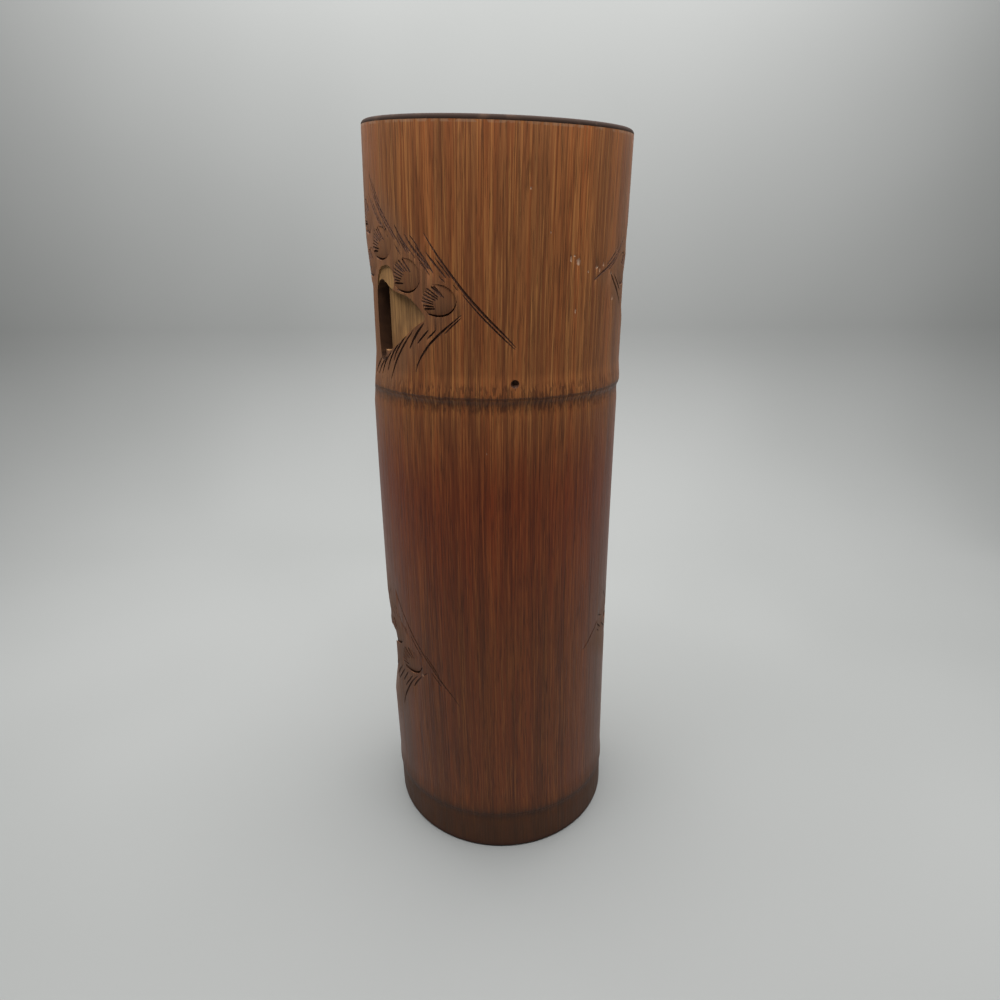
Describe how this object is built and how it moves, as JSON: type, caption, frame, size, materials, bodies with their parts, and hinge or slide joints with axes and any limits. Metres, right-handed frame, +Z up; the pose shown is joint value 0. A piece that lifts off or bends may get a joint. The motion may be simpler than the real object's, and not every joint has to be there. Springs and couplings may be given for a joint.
{
  "type": "bamboo vase",
  "caption": "Tall round flower vase made from one length of stained bamboo, its wall carved and pierced with pine tufts, with a lift-out metal water liner.",
  "frame": {"origin": "centre of the standing plane under the foot", "axes": "+Z up the culm, -Y towards the plain uncarved side that faces the camera in the picture, +X to its right"},
  "size_m": [0.1042, 0.1034, 0.3068],
  "materials": {
    "stained_bamboo": "reddish brown stain under a thin satin varnish, worn at the rim and carving",
    "raw_bamboo": "bare, dull, scraped",
    "lacquered_sheet": "black baked lacquer, satin"
  },
  "bodies": {
    "vase": {"culm": "stained_bamboo", "middle_septum": "raw_bamboo", "floor_septum": "raw_bamboo"},
    "liner": {"liner_tube": "lacquered_sheet", "liner_base": "lacquered_sheet"}
  },
  "joints": [
    {"name": "liner_lift", "type": "slide", "parent": "vase", "child": "liner", "axis": [0, 0, 1], "range_m": [0, 0.29]}
  ]
}
